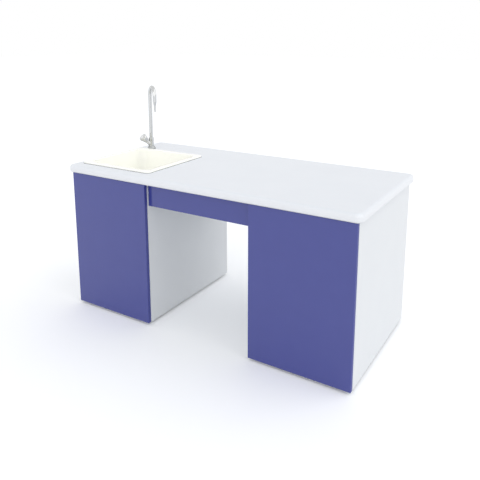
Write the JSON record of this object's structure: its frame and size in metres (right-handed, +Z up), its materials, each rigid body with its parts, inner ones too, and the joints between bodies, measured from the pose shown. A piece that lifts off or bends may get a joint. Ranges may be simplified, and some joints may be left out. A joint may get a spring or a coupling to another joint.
{
  "type": "laboratory teacher desk",
  "caption": "White laboratory desk with a sink and swivel swan-neck tap in the worktop, cupboards with glossy indigo doors on either side of an open knee space, and a shallow drawer.",
  "frame": {"origin": "on the floor, under the middle of the worktop", "axes": "+X along the desk to the storage cabinet, -Y towards the user, +Z up"},
  "size_m": [1.54, 0.725, 1.1145],
  "materials": {
    "worktop_laminate": "white laminate on chipboard, satin",
    "white_board": "white melamine-faced board, fine matt",
    "indigo_front": "indigo high-gloss faced board",
    "sink_white": "cream-white moulded composite, glossy",
    "tap_chrome": "satin chrome plate on brass",
    "handle_cap_grey": "pale grey moulded cap",
    "stainless": "stainless steel, brushed",
    "zinc_steel": "bright zinc-plated steel",
    "black_rubber": "black rubber",
    "white_plastic": "white moulded polypropylene",
    "grey_plastic": "grey moulded nylon",
    "clear_rubber": "translucent bumper rubber"
  },
  "bodies": {
    "desk": {"worktop": "worktop_laminate", "sink_outer_side": "white_board", "sink_inner_side": "white_board", "sink_floor": "white_board", "sink_back": "white_board", "sink_front_rail": "white_board", "storage_inner_side": "white_board", "storage_outer_side": "white_board", "storage_floor": "white_board", "storage_back": "white_board", "storage_front_rail": "white_board", "storage_shelf": "white_board", "rear_apron": "white_board", "sink_bowl": "sink_white", "tap_flange": "tap_chrome", "tap_body": "tap_chrome", "tap_collar": "tap_chrome", "valve_bonnet": "tap_chrome", "sink_strainer": "stainless", "hinge_plates": "zinc_steel", "hinge_pins": "zinc_steel", "sink_clips": "zinc_steel", "shelf_pegs": "zinc_steel", "slide_cabinet_rails": "zinc_steel", "tap_back_nut": "zinc_steel", "sink_seal": "black_rubber", "strainer_gasket": "black_rubber", "tap_gasket": "black_rubber", "tap_back_washer": "black_rubber", "strainer_nut": "white_plastic", "trap_body": "white_plastic", "trap_cup": "white_plastic", "waste_level_pipe": "white_plastic", "waste_elbow": "white_plastic", "waste_drop_pipe": "white_plastic", "corner_blocks": "white_plastic", "push_latches": "grey_plastic", "glides": "grey_plastic"},
    "sink_door": {"sink_door": "indigo_front", "sink_door_bushes": "grey_plastic", "sink_door_strike": "zinc_steel", "sink_door_bumpers": "clear_rubber"},
    "storage_door": {"storage_door": "indigo_front", "storage_door_bushes": "grey_plastic", "storage_door_strike": "zinc_steel", "storage_door_bumpers": "clear_rubber"},
    "drawer": {"drawer_front": "indigo_front", "drawer_sides": "white_board", "drawer_back": "white_board", "drawer_bottom": "white_board", "slide_drawer_rails": "zinc_steel"},
    "slide_middles": {"slide_middle_rails": "zinc_steel", "slide_ball_cages": "grey_plastic"},
    "spout": {"tap_spout": "tap_chrome", "tap_nozzle": "tap_chrome"},
    "handle": {"tap_handle": "tap_chrome", "handle_cap": "handle_cap_grey", "valve_spindle": "stainless"},
    "sink_plunger": {"sink_latch_plunger": "grey_plastic"},
    "storage_plunger": {"storage_latch_plunger": "grey_plastic"}
  },
  "joints": [
    {"name": "sink_door_swing", "type": "hinge", "parent": "desk", "child": "sink_door", "pos_m": [-0.7445, -0.3385, 0.36], "axis": [0, 0, -1], "range_deg": [0, 105]},
    {"name": "storage_door_swing", "type": "hinge", "parent": "desk", "child": "storage_door", "pos_m": [0.7445, -0.3385, 0.36], "axis": [0, 0, 1], "range_deg": [0, 105]},
    {"name": "drawer_slide", "type": "slide", "parent": "desk", "child": "drawer", "axis": [0, -1, 0], "range_m": [0, 0.35]},
    {"name": "slide_middle_travel", "type": "slide", "parent": "desk", "child": "slide_middles", "axis": [0, -1, 0], "range_m": [0, 0.175]},
    {"name": "spout_swivel", "type": "hinge", "parent": "desk", "child": "spout", "pos_m": [-0.6765, 0.1725, 0.81], "axis": [0, 0, 1], "range_deg": [-110, 110]},
    {"name": "handle_turn", "type": "hinge", "parent": "desk", "child": "handle", "pos_m": [-0.6765, 0.1725, 0.769], "axis": [-0.2988, -0.6409, 0.7071], "range_deg": [0, 90]},
    {"name": "sink_plunger_travel", "type": "slide", "parent": "desk", "child": "sink_plunger", "axis": [0, -1, 0], "range_m": [0, 0.03]},
    {"name": "storage_plunger_travel", "type": "slide", "parent": "desk", "child": "storage_plunger", "axis": [0, -1, 0], "range_m": [0, 0.03]}
  ],
  "couplings": [
    {"joint": "slide_middle_travel", "follows": "drawer_slide", "ratio": 0.5},
    {"joint": "sink_plunger_travel", "follows": "sink_door_swing", "m_per_rad": 0.01637},
    {"joint": "storage_plunger_travel", "follows": "storage_door_swing", "m_per_rad": 0.01637}
  ]
}
